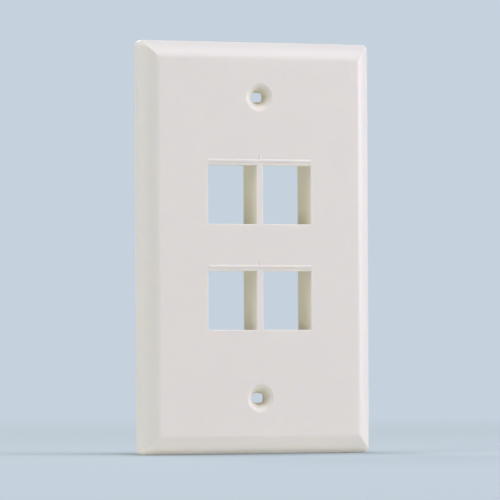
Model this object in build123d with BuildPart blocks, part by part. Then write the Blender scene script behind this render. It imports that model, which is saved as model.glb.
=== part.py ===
"""Single-gang wall faceplate with four ports for snap-in jacks, moulded in one piece.

Millimetres. +X is right and +Z is up for someone who faces the plate. The wall is the plane Y = 0, and the
face of the plate looks along -Y. The origin is the plate's centre on the wall plane.
"""

import os

from build123d import *

# Outline of the plate
plate_width = 69.85
plate_height = 114.3
corner_radius = 1.7

# Section of the plate, with heights counted from the wall plane
plate_depth = 6.0
side_height = 1.9
bevel_width = 4.85
bevel_bulge = 0.8
side_edge_radius = 1.0
face_edge_radius = 3.0
wall = 2.1

# Ports, two beside each other in each of two rows
port_width = 14.65
port_height = 16.3
rib_width = 1.9
port_pitch_z = 29.3
port_edge_radius = 0.2

# Wells behind the ports, with depths counted from the face. A jack's sprung latch snaps in above its port
# and its fixed lug sits below
well_depth = 9.25
well_wall = 1.5
well_corner_radius = 0.8
well_rim_radius = 0.3
catch_depth = 1.5
catch_overhang = 2.0
latch_front_depth = 4.0
latch_recess = 4.0
lug_front_depth = 6.5
lug_recess = 2.0

# Raised line above each row of ports, and the short tick that stands on it over the rib
line_gap = 0.7
line_width = 1.0
tick_width = 0.75
tick_length = 1.0
relief = 0.2
relief_root = 0.4

# Screw holes, with depths counted from the face. Each has a flared mouth for the head and a short throat,
# and a thin web ends the throat. The edges of the web's opening hold a screw in the plate
screw_spacing = 83.34
screw_hole_radius = 1.85
head_radius = 3.95
head_depth = 1.9
head_bulge = 0.3
head_edge_radius = 0.25
throat_depth = 2.3
web_thickness = 0.3
web_opening_width = 3.4
web_opening_height = 2.6
web_opening_radius = 0.9
boss_radius = 4.8
boss_bore_radius = 3.3

# The plate's own planes: its face, and the two planes that its sections are drawn on. Each section plane
# has the plate's depth as its second direction, growing from the wall towards the face.
face_plane = Plane.XZ.offset(plate_depth)
width_plane = Plane(origin=(0, 0, 0), x_dir=(1, 0, 0), z_dir=(0, 0, -1))
height_plane = Plane(origin=(0, 0, 0), x_dir=(0, 0, 1), z_dir=(1, 0, 0))

port_pitch_x = port_width + rib_width
row_width = port_pitch_x + port_width
rows_height = port_pitch_z + port_height
skin_middle = Plane.XZ.offset(plate_depth - wall / 2)
corner_middle_x = plate_width / 2 - corner_radius
corner_middle_z = plate_height / 2 - corner_radius


def section_outline(span, foot):
    """Outline of a section of the plate: upright sides, bulging bevels and a flat face.

    The sides start at the height foot, which lies below the wall plane where a cut has to run out of it.
    """
    side = span / 2
    face_end = side - bevel_width
    with BuildLine() as outline:
        SagittaArc((face_end, plate_depth), (side, side_height), bevel_bulge)
        Line((face_end, plate_depth), (-face_end, plate_depth))
        SagittaArc((-side, side_height), (-face_end, plate_depth), bevel_bulge)
        Polyline((-side, side_height), (-side, foot), (side, foot), (side, side_height))
    return outline.line


def round_section(section):
    """Round a section where its bevels meet the face and the sides."""
    fillet(section.vertices().group_by(Axis.Y)[-1], radius=face_edge_radius)
    fillet(section.vertices().group_by(Axis.Y)[1], radius=side_edge_radius)


def ridge_outline(middle, width):
    """Outline of a low round-topped ridge on the face, with its root sunk into the skin."""
    left = middle - width / 2
    right = middle + width / 2
    root = plate_depth - relief_root
    with BuildLine() as outline:
        ThreePointArc((left, plate_depth), (middle, plate_depth + relief), (right, plate_depth))
        Polyline((right, plate_depth), (right, root), (left, root), (left, plate_depth))
    return outline.line


def screw_hole_outline():
    """Outline of half a screw hole beside its axis: the round throat, the flare and its rounded mouth."""
    above = plate_depth + head_radius
    throat_bottom = plate_depth - throat_depth
    flare_start = (screw_hole_radius, plate_depth - head_depth)
    flare_end = (head_radius, plate_depth)
    with BuildLine() as outline:
        Polyline((0, throat_bottom), (screw_hole_radius, throat_bottom), flare_start)
        SagittaArc(flare_start, flare_end, head_bulge)
        Polyline(
            flare_end,
            (boss_radius, plate_depth),
            (boss_radius, above),
            (0, above),
            (0, throat_bottom),
        )
        mouth = outline.vertices().sort_by_distance(flare_end)[0]
        fillet(mouth, radius=head_edge_radius)
    return outline.line


# Corners of the plate: each is a quarter turn of the section's outer end
with BuildPart() as corners:
    with BuildSketch(width_plane.offset(-corner_middle_z)) as turned_section:
        make_face(section_outline(plate_width, 0))
        round_section(turned_section)
        with Locations(((plate_width - corner_radius) / 2, plate_depth / 2)):
            Rectangle(corner_radius, plate_depth, mode=Mode.INTERSECT)
    revolve(axis=Axis((corner_middle_x, 0, corner_middle_z), (0, -1, 0)), revolution_arc=90)
    mirror(about=Plane.YZ)
    mirror(about=Plane.XY)

# Solid form of the plate: two sections crossed, so the bevels meet in mitres between the turned corners
with BuildPart() as form:
    with BuildSketch(width_plane.offset(-plate_height / 2)) as width_section:
        make_face(section_outline(plate_width, 0))
        round_section(width_section)
    extrude(amount=plate_height)
    with BuildSketch(height_plane.offset(-plate_width / 2)) as height_section:
        make_face(section_outline(plate_height, 0))
        round_section(height_section)
    extrude(amount=plate_width, mode=Mode.INTERSECT)
    with BuildSketch(Plane.XZ):
        Rectangle(plate_width, plate_height)
        with GridLocations(plate_width - corner_radius, plate_height - corner_radius, 2, 2):
            Rectangle(corner_radius, corner_radius, mode=Mode.SUBTRACT)
    extrude(amount=plate_depth, mode=Mode.INTERSECT)
    add(corners.part)

# Hollow of the plate, one wall inside the solid form and open towards the wall
with BuildPart() as hollow:
    with BuildSketch(width_plane.offset(wall - plate_height / 2)):
        make_face(section_outline(plate_width, -2 * wall))
        offset(amount=-wall, kind=Kind.INTERSECTION)
    extrude(amount=plate_height - 2 * wall)
    with BuildSketch(height_plane.offset(wall - plate_width / 2)):
        make_face(section_outline(plate_height, -2 * wall))
        offset(amount=-wall, kind=Kind.INTERSECTION)
    extrude(amount=plate_width - 2 * wall, mode=Mode.INTERSECT)

# Blocks that the wells are cut into, one behind each row of ports
with BuildPart() as well_blocks:
    with BuildSketch(skin_middle):
        with Locations((0, (latch_recess - lug_recess) / 2)):
            with GridLocations(0, port_pitch_z, 1, 2):
                RectangleRounded(
                    row_width + 2 * well_wall,
                    port_height + latch_recess + lug_recess + 2 * well_wall,
                    well_corner_radius,
                )
    extrude(amount=-(well_depth - wall / 2))
    fillet(well_blocks.faces().sort_by(Axis.Y)[-2:].edges(), radius=well_rim_radius)

# Ports, their wells and the recesses that a jack's latch and lug snap into
with BuildPart() as ports:
    with BuildSketch(face_plane):
        with GridLocations(port_pitch_x, port_pitch_z, 2, 2):
            Rectangle(port_width, port_height)
    extrude(amount=-well_depth)
    with BuildSketch(face_plane.offset(-latch_front_depth)):
        with Locations((0, (port_height + latch_recess) / 2)):
            with GridLocations(port_pitch_x, port_pitch_z, 2, 2):
                Rectangle(port_width, latch_recess)
    extrude(amount=latch_front_depth + catch_depth - well_depth)
    with BuildSketch(face_plane.offset(catch_depth - well_depth)):
        with Locations((0, (port_height + latch_recess - catch_overhang) / 2)):
            with GridLocations(port_pitch_x, port_pitch_z, 2, 2):
                Rectangle(port_width, latch_recess - catch_overhang)
    extrude(amount=-catch_depth)
    with BuildSketch(face_plane.offset(-lug_front_depth)):
        with Locations((0, -(port_height + lug_recess) / 2)):
            with GridLocations(port_pitch_x, port_pitch_z, 2, 2):
                Rectangle(port_width, lug_recess)
    extrude(amount=lug_front_depth + catch_depth - well_depth)

# Bosses that stand on the wall behind the screw holes
with BuildPart() as bosses:
    with BuildSketch(Plane.XZ):
        with GridLocations(0, screw_spacing, 1, 2):
            Circle(boss_radius)
    extrude(amount=plate_depth - wall / 2)

# The moulded plate
with BuildPart() as faceplate:
    add(form.part)
    add(hollow.part, mode=Mode.SUBTRACT)
    add(well_blocks.part)
    add(bosses.part)
    add(ports.part, mode=Mode.SUBTRACT)

    for screw_height in (-screw_spacing / 2, screw_spacing / 2):
        with BuildSketch(width_plane.offset(-screw_height)):
            make_face(screw_hole_outline())
        revolve(axis=Axis((0, 0, screw_height), (0, 1, 0)), mode=Mode.SUBTRACT)
    with BuildSketch(face_plane.offset(-throat_depth)):
        with GridLocations(0, screw_spacing, 1, 2):
            RectangleRounded(web_opening_width, web_opening_height, web_opening_radius)
    extrude(amount=-web_thickness, mode=Mode.SUBTRACT)
    with BuildSketch(Plane.XZ):
        with GridLocations(0, screw_spacing, 1, 2):
            Circle(boss_bore_radius)
    extrude(amount=plate_depth - throat_depth - web_thickness, mode=Mode.SUBTRACT)

    face_edges = faceplate.edges().filter_by_position(Axis.Y, -plate_depth, -plate_depth)
    port_edges = face_edges.filter_by_position(Axis.X, -row_width, row_width)
    port_edges = port_edges.filter_by_position(Axis.Z, -rows_height / 2 - wall, rows_height / 2 + wall)
    fillet(port_edges.filter_by(GeomType.LINE), radius=port_edge_radius)

    for row in (-port_pitch_z / 2, port_pitch_z / 2):
        line_bottom = row + port_height / 2 + line_gap
        line_top = line_bottom + line_width
        with BuildSketch(height_plane.offset(-row_width / 2)):
            make_face(ridge_outline((line_bottom + line_top) / 2, line_width))
        extrude(amount=row_width)
        with BuildSketch(width_plane.offset(-line_top - tick_length)):
            make_face(ridge_outline(0, tick_width))
        extrude(amount=tick_length)

faceplate.part.label = "faceplate"
os.makedirs("parts", exist_ok=True)
export_step(faceplate.part, "parts/faceplate.step")
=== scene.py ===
"""Single-gang faceplate for snap-in jacks, dressed and set under soft studio light.

The part's solid is loaded as the frame, in metres, with +X right, +Z up and the face looking along -Y. This
script gives it its moulded plastic, stands it on a plain floor and aims the camera and the lamps.
"""

import logging
import math
from dataclasses import dataclass, field
from enum import Enum

import bpy
from mathutils import Matrix, Vector


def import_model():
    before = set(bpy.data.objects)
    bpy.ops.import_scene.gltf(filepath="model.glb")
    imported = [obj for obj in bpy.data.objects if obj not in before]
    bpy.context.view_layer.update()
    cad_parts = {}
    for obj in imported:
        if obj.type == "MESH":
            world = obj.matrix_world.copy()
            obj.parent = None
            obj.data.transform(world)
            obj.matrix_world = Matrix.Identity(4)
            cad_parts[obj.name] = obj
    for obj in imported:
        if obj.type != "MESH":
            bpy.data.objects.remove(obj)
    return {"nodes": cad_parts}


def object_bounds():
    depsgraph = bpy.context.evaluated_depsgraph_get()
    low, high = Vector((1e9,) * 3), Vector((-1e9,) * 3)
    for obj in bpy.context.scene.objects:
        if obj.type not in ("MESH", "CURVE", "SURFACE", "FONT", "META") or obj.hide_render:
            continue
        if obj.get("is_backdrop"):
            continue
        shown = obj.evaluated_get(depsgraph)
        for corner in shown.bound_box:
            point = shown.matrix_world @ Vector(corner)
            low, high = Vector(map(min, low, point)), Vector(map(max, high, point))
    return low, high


LOG = logging.getLogger("faceplate")
MILLIMETRE = 0.001
PICTURE_SIDE = 500

# A Mix node has sockets for each kind of data, all under the same names. These are the colours' own
MIX_FIRST = 6
MIX_SECOND = 7
MIX_RESULT = 2

Colour = tuple[float, float, float]


class Operation(Enum):
    """Operations of a math node, by Blender's names."""

    ABSOLUTE = "ABSOLUTE"
    ADD = "ADD"
    MAXIMUM = "MAXIMUM"
    MULTIPLY = "MULTIPLY"
    ROOT = "SQRT"
    SUBTRACT = "SUBTRACT"


@dataclass(frozen=True)
class Reach:
    """Stretch of values between two ends. A smooth step rises from its start to its end."""

    start: float
    end: float


def new_material(name: str) -> tuple[bpy.types.Material, bpy.types.Node]:
    """Make a material that holds a lone Principled BSDF.

    Args:
        name: Name of the material.

    Returns:
        The material and its Principled node.
    """
    material = bpy.data.materials.new(name)
    material.use_nodes = True
    nodes = material.node_tree.nodes
    nodes.clear()
    shader = nodes.new("ShaderNodeBsdfPrincipled")
    output = nodes.new("ShaderNodeOutputMaterial")
    material.node_tree.links.new(shader.outputs["BSDF"], output.inputs["Surface"])
    return material, shader


def add_math(
    tree: bpy.types.NodeTree, operation: Operation, *values: bpy.types.NodeSocket | float
) -> bpy.types.NodeSocket:
    """Add a math node.

    Args:
        tree: Node tree of a material or of the world.
        operation: What the node does.
        values: What it is done to, each a socket or a number.

    Returns:
        The result.
    """
    node = tree.nodes.new("ShaderNodeMath")
    node.operation = operation.value
    for slot, value in zip(node.inputs, values):
        if isinstance(value, bpy.types.NodeSocket):
            tree.links.new(value, slot)
        else:
            slot.default_value = value
    return node.outputs["Value"]


def add_range(
    tree: bpy.types.NodeTree,
    value: bpy.types.NodeSocket,
    source: Reach,
    target: Reach = Reach(0, 1),
) -> bpy.types.NodeSocket:
    """Add a smooth step that carries one stretch of values over to another.

    Args:
        tree: Node tree of a material.
        value: Value that is carried over.
        source: Stretch of the value.
        target: Stretch of the result.

    Returns:
        The result.
    """
    step = tree.nodes.new("ShaderNodeMapRange")
    step.interpolation_type = "SMOOTHSTEP"
    step.inputs["From Min"].default_value = source.start
    step.inputs["From Max"].default_value = source.end
    step.inputs["To Min"].default_value = target.start
    step.inputs["To Max"].default_value = target.end
    tree.links.new(value, step.inputs["Value"])
    return step.outputs["Result"]


def add_seen(tree: bpy.types.NodeTree) -> bpy.types.NodeSocket:
    """Add a mask of the rays that show the background: straight, mirrored in gloss and through glass.

    Args:
        tree: Node tree of a stage material or of the world.

    Returns:
        The mask, 1 for those rays and 0 for the light that falls on the plate.
    """
    path = tree.nodes.new("ShaderNodeLightPath")
    seen = path.outputs["Is Camera Ray"]
    for kind in ("Is Glossy Ray", "Is Transmission Ray"):
        seen = add_math(tree, Operation.MAXIMUM, seen, path.outputs[kind])
    return seen


def mix_shaders(
    tree: bpy.types.NodeTree,
    share: bpy.types.NodeSocket,
    first: bpy.types.NodeSocket,
    second: bpy.types.NodeSocket,
) -> bpy.types.NodeSocket:
    """Add a mix of two shaders.

    Args:
        tree: Node tree of a stage material or of the world.
        share: Share of the second shader.
        first: Shader where the share is 0.
        second: Shader where the share is 1.

    Returns:
        The mixed shader.
    """
    mix = tree.nodes.new("ShaderNodeMixShader")
    for slot, value in zip(mix.inputs, (share, first, second)):
        tree.links.new(value, slot)
    return mix.outputs["Shader"]


@dataclass(frozen=True)
class MouldedPlastic:
    """Warm off-white moulded plastic.

    It has the fine grain of its mould, slow swells in colour and gloss, and painted warm shade inside the
    ports and screw holes, which stands in for the light passing from wall to wall there. Each painted shade
    lies between a front and a back depth along Y. The ports' painted shade also ends in the wells' outer
    walls, counted from the plate's middle, and the screw holes' painted shade in their bosses, counted from
    each hole's axis. The light let into the surface reaches in by millimetres, given for red, green and
    blue.
    """

    name: str = "moulded_plastic"
    colour: Colour = (0.735, 0.695, 0.655)
    swell: float = 0.015
    swell_size: float = 14 * MILLIMETRE
    noise_detail: float = 2
    # Painted warm shade in the ports: a darker, yellower multiplier standing in for the light passing from
    # wall to wall.
    port_painted_shade: Colour = (1, 0.985, 0.83)
    port_front: Reach = Reach(-5.7 * MILLIMETRE, -4.2 * MILLIMETRE)
    port_back: Reach = Reach(3.2 * MILLIMETRE, 2.4 * MILLIMETRE)
    port_width: Reach = Reach(17.1 * MILLIMETRE, 15.7 * MILLIMETRE)
    port_height: Reach = Reach(28.3 * MILLIMETRE, 27.0 * MILLIMETRE)
    # Painted shade in the screw holes: a darker, yellower multiplier standing in for the shade in their
    # mouths.
    mouth_painted_shade: Colour = (0.92, 0.905, 0.79)
    mouth_front: Reach = Reach(-5.9 * MILLIMETRE, -4.8 * MILLIMETRE)
    mouth_back: Reach = Reach(-2.2 * MILLIMETRE, -3.2 * MILLIMETRE)
    mouth_radius: Reach = Reach(4.7 * MILLIMETRE, 4.0 * MILLIMETRE)
    screw_spacing: float = 83.34 * MILLIMETRE
    roughness: Reach = Reach(0.38, 0.46)
    scatter: float = 0.3
    scatter_reach: tuple[float, float, float] = (1.5, 1.1, 0.45)
    grain_size: float = 0.35 * MILLIMETRE
    grain_height: float = 0.012 * MILLIMETRE

    def build(self) -> bpy.types.Material:
        """Make the material's nodes.

        Returns:
            The finished material.
        """
        material, shader = new_material(self.name)
        tree = material.node_tree
        shader.inputs["Subsurface Weight"].default_value = self.scatter
        shader.inputs["Subsurface Radius"].default_value = self.scatter_reach
        shader.inputs["Subsurface Scale"].default_value = MILLIMETRE
        place = tree.nodes.new("ShaderNodeTexCoord").outputs["Object"]
        swell = self.add_noise(tree, place, self.swell_size)
        tree.links.new(self.add_colour(tree, place, swell), shader.inputs["Base Color"])
        gloss = add_range(tree, swell, Reach(0, 1), self.roughness)
        tree.links.new(gloss, shader.inputs["Roughness"])
        grain = tree.nodes.new("ShaderNodeBump")
        grain.inputs["Distance"].default_value = self.grain_height
        tree.links.new(self.add_noise(tree, place, self.grain_size), grain.inputs["Height"])
        tree.links.new(grain.outputs["Normal"], shader.inputs["Normal"])
        return material

    def add_colour(
        self, tree: bpy.types.NodeTree, place: bpy.types.NodeSocket, swell: bpy.types.NodeSocket
    ) -> bpy.types.NodeSocket:
        """Add the plastic's colour, with its swells and the painted shade in the recesses.

        Args:
            tree: Node tree of the material.
            place: Object coordinates.
            swell: Pattern of the swells.

        Returns:
            The colour.
        """
        paler: Colour = tuple(value * (1 + self.swell) for value in self.colour)
        darker: Colour = tuple(value * (1 - self.swell) for value in self.colour)
        mix = tree.nodes.new("ShaderNodeMix")
        mix.data_type = "RGBA"
        mix.inputs[MIX_FIRST].default_value = (*paler, 1)
        mix.inputs[MIX_SECOND].default_value = (*darker, 1)
        tree.links.new(swell, mix.inputs["Factor"])
        ports, mouths = self.add_recesses(tree, place)
        # The ports get their painted warm shade here.
        with_port_shade = self.add_painted_shade(tree, mix.outputs[MIX_RESULT], ports, self.port_painted_shade)
        # The screw holes get their painted shade here.
        return self.add_painted_shade(tree, with_port_shade, mouths, self.mouth_painted_shade)

    def add_noise(
        self, tree: bpy.types.NodeTree, place: bpy.types.NodeSocket, size: float
    ) -> bpy.types.NodeSocket:
        """Add a noise pattern.

        Args:
            tree: Node tree of the material.
            place: Object coordinates.
            size: Size of the pattern's features, in metres.

        Returns:
            The pattern, from 0 to 1.
        """
        noise = tree.nodes.new("ShaderNodeTexNoise")
        noise.inputs["Scale"].default_value = 1 / size
        noise.inputs["Detail"].default_value = self.noise_detail
        tree.links.new(place, noise.inputs["Vector"])
        return noise.outputs["Fac"]

    def add_painted_shade(
        self,
        tree: bpy.types.NodeTree,
        colour: bpy.types.NodeSocket,
        mask: bpy.types.NodeSocket,
        tone: Colour,
    ) -> bpy.types.NodeSocket:
        """Add painted shade, which multiplies a colour where a mask says so.

        Args:
            tree: Node tree of the material.
            colour: Colour that gets the painted shade.
            mask: Share of the painted shade.
            tone: Colour of the painted shade, which the colour is multiplied by.

        Returns:
            The colour with its painted shade.
        """
        mix = tree.nodes.new("ShaderNodeMix")
        mix.data_type = "RGBA"
        mix.blend_type = "MULTIPLY"
        mix.inputs[MIX_SECOND].default_value = (*tone, 1)
        tree.links.new(mask, mix.inputs["Factor"])
        tree.links.new(colour, mix.inputs[MIX_FIRST])
        return mix.outputs[MIX_RESULT]

    def add_stretch(
        self, tree: bpy.types.NodeTree, value: bpy.types.NodeSocket, front: Reach, back: Reach
    ) -> bpy.types.NodeSocket:
        """Add a mask that is 1 between two smooth steps.

        Args:
            tree: Node tree of the material.
            value: Value that the mask follows.
            front: Where the mask rises.
            back: Where it falls again, from its far end.

        Returns:
            The mask.
        """
        rise = add_range(tree, value, front)
        return add_math(tree, Operation.MULTIPLY, rise, add_range(tree, value, back))

    def add_recesses(
        self, tree: bpy.types.NodeTree, place: bpy.types.NodeSocket
    ) -> tuple[bpy.types.NodeSocket, bpy.types.NodeSocket]:
        """Add the masks of the painted shade below the face: the ports with their wells, and the screw
        holes.

        Args:
            tree: Node tree of the material.
            place: Object coordinates.

        Returns:
            The masks of the painted shade in the ports and in the screw holes, each 1 deep inside.
        """
        parts = tree.nodes.new("ShaderNodeSeparateXYZ")
        tree.links.new(place, parts.inputs["Vector"])
        in_port = self.add_stretch(tree, parts.outputs["Y"], self.port_front, self.port_back)
        in_mouth = self.add_stretch(tree, parts.outputs["Y"], self.mouth_front, self.mouth_back)
        aside = add_math(tree, Operation.ABSOLUTE, parts.outputs["X"])
        along = add_math(tree, Operation.ABSOLUTE, parts.outputs["Z"])
        across = add_range(tree, aside, self.port_width)
        upright = add_range(tree, along, self.port_height)
        outline = add_math(tree, Operation.MULTIPLY, across, upright)
        beyond = add_math(tree, Operation.SUBTRACT, along, self.screw_spacing / 2)
        aside_square = add_math(tree, Operation.MULTIPLY, aside, aside)
        beyond_square = add_math(tree, Operation.MULTIPLY, beyond, beyond)
        square = add_math(tree, Operation.ADD, aside_square, beyond_square)
        near = add_range(tree, add_math(tree, Operation.ROOT, square), self.mouth_radius)
        ports = add_math(tree, Operation.MULTIPLY, in_port, outline)
        return ports, add_math(tree, Operation.MULTIPLY, in_mouth, near)


@dataclass(frozen=True)
class PaleFloor:
    """Finish of the plain pale floor.

    The camera sees it lit and shaded near the plate, with a painted shadow that darkens it where it meets
    the plate, and in the background's own colour far out. The light that it throws back on the plate is set
    apart, as its bounce.
    """

    name: str = "pale_floor"
    colour: Colour = (0.54, 0.605, 0.64)
    far_share: Reach = Reach(0.35, 1)
    fade: Reach = Reach(0.25, 0.8)
    # How far the painted shadow reaches, which darkens the floor where it meets the plate.
    painted_shadow_reach: float = 0.04
    bounce_colour: Colour = (0.66, 0.66, 0.63)
    bounce_glow_colour: Colour = (0.945, 1.02, 0.965)
    bounce_glow: float = 0.305

    def build(self, background: Colour) -> bpy.types.Material:
        """Make the material's nodes.

        Args:
            background: Colour that the floor fades into.

        Returns:
            The finished material.
        """
        material, bounce = new_material(self.name)
        tree = material.node_tree
        output = bounce.outputs["BSDF"].links[0].to_socket
        bounce.inputs["Base Color"].default_value = (*self.bounce_colour, 1)
        bounce.inputs["Specular IOR Level"].default_value = 0
        bounce.inputs["Emission Color"].default_value = (*self.bounce_glow_colour, 1)
        bounce.inputs["Emission Strength"].default_value = self.bounce_glow
        # Painted shadow: ambient occlusion darkens the floor's colour near the plate, and dims its far glow
        # there too.
        painted_contact_shadow = tree.nodes.new("ShaderNodeAmbientOcclusion")
        painted_contact_shadow.inputs["Color"].default_value = (*self.colour, 1)
        painted_contact_shadow.inputs["Distance"].default_value = self.painted_shadow_reach
        near = tree.nodes.new("ShaderNodeBsdfDiffuse")
        tree.links.new(painted_contact_shadow.outputs["Color"], near.inputs["Color"])
        far = tree.nodes.new("ShaderNodeEmission")
        far.inputs["Color"].default_value = (*background, 1)
        tree.links.new(painted_contact_shadow.outputs["AO"], far.inputs["Strength"])
        share = self.add_distance_share(tree)
        seen = mix_shaders(tree, share, near.outputs["BSDF"], far.outputs["Emission"])
        chosen = mix_shaders(tree, add_seen(tree), bounce.outputs["BSDF"], seen)
        tree.links.new(chosen, output)
        return material

    def add_distance_share(self, tree: bpy.types.NodeTree) -> bpy.types.NodeSocket:
        """Add the share of the background's colour, which grows with the distance from the plate.

        Args:
            tree: Node tree of the material.

        Returns:
            The share.
        """
        place = tree.nodes.new("ShaderNodeTexCoord")
        distance = tree.nodes.new("ShaderNodeVectorMath")
        distance.operation = "LENGTH"
        tree.links.new(place.outputs["Object"], distance.inputs[0])
        return add_range(tree, distance.outputs["Value"], self.fade, self.far_share)


@dataclass(frozen=True)
class Viewpoint:
    """Camera that looks at the plate from its left and a little from below.

    Its place is given by how far the plate's middle lies aside of, above and in front of it, in metres. The
    width of its sensor is in millimetres.
    """

    focal_pixels: float = 4951.7
    yaw: float = math.radians(23.88)
    pitch: float = math.radians(1.20)
    roll: float = math.radians(-0.257)
    aside: float = 0.378 * MILLIMETRE
    above: float = 0.570 * MILLIMETRE
    distance: float = 1377.2 * MILLIMETRE
    sensor_width: float = 36
    nearest: float = 0.01
    farthest: float = 100

    def build(self) -> bpy.types.Object:
        """Place the camera and make it the scene's.

        Returns:
            The camera object.
        """
        forward = Vector(
            (
                math.sin(self.yaw) * math.cos(self.pitch),
                math.cos(self.yaw) * math.cos(self.pitch),
                math.sin(self.pitch),
            )
        )
        level = Vector((math.cos(self.yaw), -math.sin(self.yaw), 0))
        upright = level.cross(forward)
        right = math.cos(self.roll) * level + math.sin(self.roll) * upright
        up = math.cos(self.roll) * upright - math.sin(self.roll) * level
        place = -(self.aside * right + self.above * up + self.distance * forward)
        data = bpy.data.cameras.new("viewpoint")
        data.sensor_width = self.sensor_width
        data.lens = self.focal_pixels * self.sensor_width / PICTURE_SIDE
        data.clip_start = self.nearest
        data.clip_end = self.farthest
        camera = bpy.data.objects.new("viewpoint", data)
        turn = Matrix((right, up, -forward)).transposed()
        camera.matrix_world = Matrix.Translation(place) @ turn.to_4x4()
        bpy.context.scene.collection.objects.link(camera)
        bpy.context.scene.camera = camera
        LOG.info("camera %s", camera.name)
        return camera


@dataclass(frozen=True)
class RoundLamp:
    """Soft round lamp, placed by its bearing from the plate and aimed at the plate's middle.

    The bearing is counted in degrees from straight in front of the face towards its right, and the height
    angle in degrees from level.
    """

    name: str
    bearing: float
    height_angle: float
    power: float
    colour: Colour
    distance: float = 1.6
    diameter: float = 0.53

    def build(self) -> bpy.types.Object:
        """Hang the lamp and aim it.

        Returns:
            The lamp object.
        """
        data = bpy.data.lights.new(self.name, "AREA")
        data.shape = "DISK"
        data.size = self.diameter
        data.energy = self.power
        data.color = self.colour
        bearing = math.radians(self.bearing)
        height_angle = math.radians(self.height_angle)
        way = Vector(
            (
                math.sin(bearing) * math.cos(height_angle),
                -math.cos(bearing) * math.cos(height_angle),
                math.sin(height_angle),
            )
        )
        lamp = bpy.data.objects.new(self.name, data)
        lamp.location = way * self.distance
        lamp.rotation_euler = (-way).to_track_quat("-Z", "Y").to_euler()
        lamp.visible_camera = False
        bpy.context.scene.collection.objects.link(lamp)
        LOG.info("lamp %s", lamp.name)
        return lamp


@dataclass
class Studio:
    """Plain pale floor and background, and the lamps round the plate."""

    floor_height: float
    floor_side: float = 30
    floor_finish: PaleFloor = PaleFloor()
    background: Colour = (0.56, 0.64, 0.72)
    fill_colour: Colour = (0.965, 1.01, 0.985)
    fill_level: float = 0.167
    lamps: list[RoundLamp] = field(
        default_factory=lambda: [
            RoundLamp("key", 62, 10, 10.9, (1.02, 0.98, 1.15)),
            RoundLamp("right_front", 45, 50, 4.5, (1.05, 0.99, 1.11)),
            RoundLamp("overhead", 0, 75, 9.9, (0.96, 1.00, 1.10)),
            RoundLamp("left_front", -65, 25, 1.9, (1.06, 1.01, 0.75)),
            RoundLamp("left_side", -85, 25, 7.1, (0.95, 1.00, 1.09)),
            RoundLamp("left_back", -140, 35, 1.4, (0.99, 1.02, 0.76)),
            RoundLamp("back", 180, 40, 5.0, (1.00, 1.00, 1.02)),
        ]
    )

    def build_floor(self) -> bpy.types.Object:
        """Lay the floor under the plate.

        Returns:
            The floor object.
        """
        bpy.ops.object.select_all(action="DESELECT")
        bpy.ops.mesh.primitive_plane_add(size=self.floor_side, location=(0, 0, self.floor_height))
        floor = bpy.context.active_object
        floor.name = "floor"
        floor.data.materials.append(self.floor_finish.build(self.background))
        floor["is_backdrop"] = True
        LOG.info("stage %s", floor.name)
        return floor

    def build_world(self) -> bpy.types.World:
        """Make the background, which is seen brighter than it lights the plate.

        Returns:
            The scene's world.
        """
        world = bpy.data.worlds.new("studio")
        world.use_nodes = True
        tree = world.node_tree
        tree.nodes.clear()
        seen = tree.nodes.new("ShaderNodeBackground")
        seen.inputs["Color"].default_value = (*self.background, 1)
        fill = tree.nodes.new("ShaderNodeBackground")
        fill.inputs["Color"].default_value = (*self.fill_colour, 1)
        fill.inputs["Strength"].default_value = self.fill_level
        behind = seen.outputs["Background"]
        chosen = mix_shaders(tree, add_seen(tree), fill.outputs["Background"], behind)
        output = tree.nodes.new("ShaderNodeOutputWorld")
        tree.links.new(chosen, output.inputs["Surface"])
        bpy.context.scene.world = world
        return world

    def build(self) -> None:
        """Set up the whole studio."""
        self.build_floor()
        self.build_world()
        for lamp in self.lamps:
            lamp.build()


@dataclass
class Plate:
    """The moulded plate, whose shape is the frame's own solid."""

    node: str = "faceplate"
    material_slot: str = "plastic"
    plastic: MouldedPlastic = MouldedPlastic()

    def dress(self, nodes: dict[str, bpy.types.Object]) -> bpy.types.Object:
        """Give the plate its plastic.

        Args:
            nodes: The frame's objects by name.

        Returns:
            The plate's object.
        """
        plate = nodes[self.node]
        plate.data.materials.clear()
        plate.data.materials.append(self.plastic.build())
        LOG.info("dressed %s", plate.name)
        return plate


def corners(box: tuple[Vector, Vector]) -> list[list[float]]:
    """Give the two corners of a box as plain lists of numbers."""
    return [list(corner) for corner in box]


def main() -> None:
    """Load the frame, dress the plate and set the scene."""
    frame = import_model()
    solid_box = corners(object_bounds())
    lowest_corner = solid_box[0]
    bpy.context.scene.view_settings.view_transform = "Standard"
    Plate().dress(frame["nodes"])
    Studio(floor_height=lowest_corner[2]).build()
    Viewpoint().build()


if __name__ == "__main__":
    logging.basicConfig(level=logging.INFO, format="%(name)s: %(message)s")
    main()
